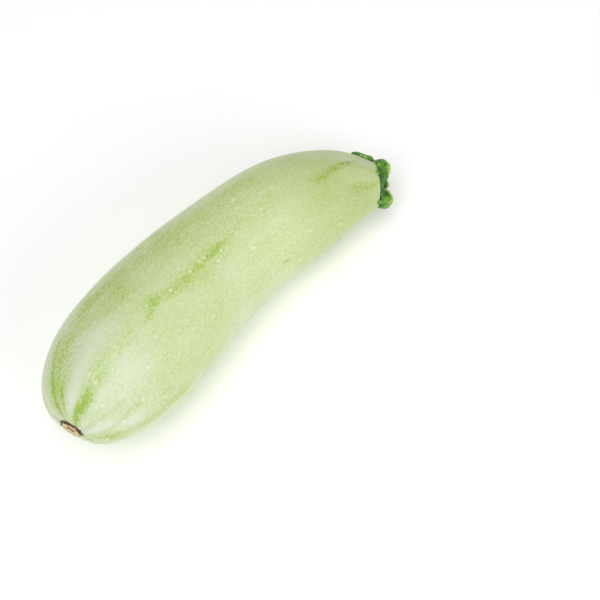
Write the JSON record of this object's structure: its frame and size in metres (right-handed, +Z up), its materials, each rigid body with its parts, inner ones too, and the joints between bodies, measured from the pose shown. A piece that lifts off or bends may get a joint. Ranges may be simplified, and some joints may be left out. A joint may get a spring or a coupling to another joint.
{
  "type": "courgette",
  "caption": "Whole pale green courgette, bent and blunt-ended, lying on its side, with its ridged stem cut short and the dry scar of its flower at the tip.",
  "frame": {"origin": "on the surface it rests on, under the middle of the whole courgette", "axes": "+Z up, +X along the courgette from its tip towards its stem, +Y towards the outside of its bend"},
  "size_m": [0.1898, 0.0652, 0.0594],
  "materials": {
    "skin": "thin waxy satin skin, pale green with fine mottling and small pale specks",
    "stalk": "firm dark green stalk with soft ridges",
    "scar": "dry corky tan scar with a dark brown rim"
  },
  "bodies": {
    "root": {"fruit": "skin", "stem": "stalk", "blossom_scar": "scar"}
  },
  "joints": []
}
